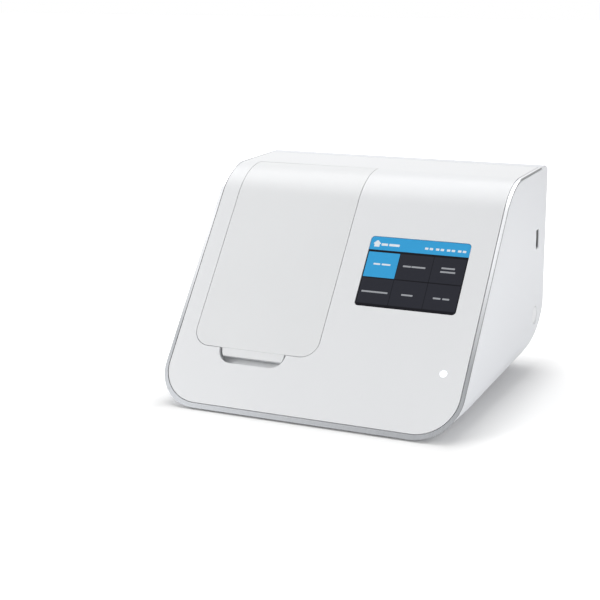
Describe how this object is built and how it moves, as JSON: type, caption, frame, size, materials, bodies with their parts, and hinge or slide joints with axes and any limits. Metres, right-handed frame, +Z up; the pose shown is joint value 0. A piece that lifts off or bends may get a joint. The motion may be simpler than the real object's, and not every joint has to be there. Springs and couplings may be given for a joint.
{
  "type": "molecular point-of-care analyzer",
  "caption": "Bench-top molecular analyzer: sloped white case with a hinged lid over heated wells, a touch screen, a status light and a side power button.",
  "frame": {"origin": "centre of the overall box's underside, on the bench that the feet stand on", "axes": "+X to the right as the user faces the screen, +Y to the back, +Z up"},
  "size_m": [0.207, 0.194, 0.145],
  "materials": {
    "white_plastic": "fine satin gloss, very light cool white",
    "shell_plastic": "satin, very light cool white",
    "satin_band": "satin silver",
    "grey_plastic": "fine texture, light grey",
    "black_glass": "polished black screen",
    "black_rubber": "matt",
    "orange_plastic": "satin",
    "blue_plastic": "satin violet blue",
    "aluminium": "machined",
    "steel": "bright",
    "zinc_sheet": "zinc plated sheet",
    "circuit_green": "solder mask green",
    "dark_plastic": "black moulding",
    "clear_plastic": "milky white light pipe",
    "lens_glass": "polished lens"
  },
  "bodies": {
    "housing": {"rear_housing": "shell_plastic", "base_plate": "grey_plastic", "foot_front_left": "black_rubber", "foot_front_right": "black_rubber", "foot_rear_right": "black_rubber", "foot_rear_left": "black_rubber", "base_screw_front_left": "steel", "base_screw_front_right": "steel", "base_screw_rear_right": "steel", "base_screw_rear_left": "steel", "front_fascia": "white_plastic", "trim_band": "satin_band", "screen_glass": "black_glass", "screen_gasket": "black_rubber", "lcd_module": "dark_plastic", "screen_bracket": "zinc_sheet", "status_light_pipe": "clear_plastic", "status_light_board": "circuit_green", "well_deck": "grey_plastic", "test_base_holder": "orange_plastic", "sample_receiver_holder": "blue_plastic", "test_base_heater": "aluminium", "sample_heater": "aluminium", "optics_module": "dark_plastic", "optics_lens": "lens_glass", "lid_sensor": "dark_plastic", "chassis_tray": "zinc_sheet", "heater_board": "circuit_green", "main_board": "circuit_green", "processor_shield": "zinc_sheet", "speaker": "dark_plastic", "connector_board": "circuit_green", "power_jack": "dark_plastic", "network_port": "steel", "usb_port_left": "steel", "usb_port_right": "steel", "side_usb_port": "steel", "side_board": "circuit_green", "power_switch": "dark_plastic", "hinge_bracket_left": "zinc_sheet", "hinge_bracket_right": "zinc_sheet", "hinge_pin_left": "steel", "hinge_pin_right": "steel"},
    "lid": {"lid_cover": "white_plastic", "lid_liner": "grey_plastic", "lid_magnet": "steel"},
    "button": {"power_button": "white_plastic", "button_spring": "steel"}
  },
  "joints": [
    {"name": "lid_hinge", "type": "hinge", "parent": "housing", "child": "lid", "pos_m": [-0.0439, 0.02901, 0.13945], "axis": [-1, 0, 0], "range_deg": [0, 95]},
    {"name": "power_press", "type": "slide", "parent": "housing", "child": "button", "axis": [-1, 0, 0], "range_m": [0, 0.0012], "stiffness_N_per_m": 800, "springref_m": -0.0012, "deforming": ["button_spring"]}
  ]
}
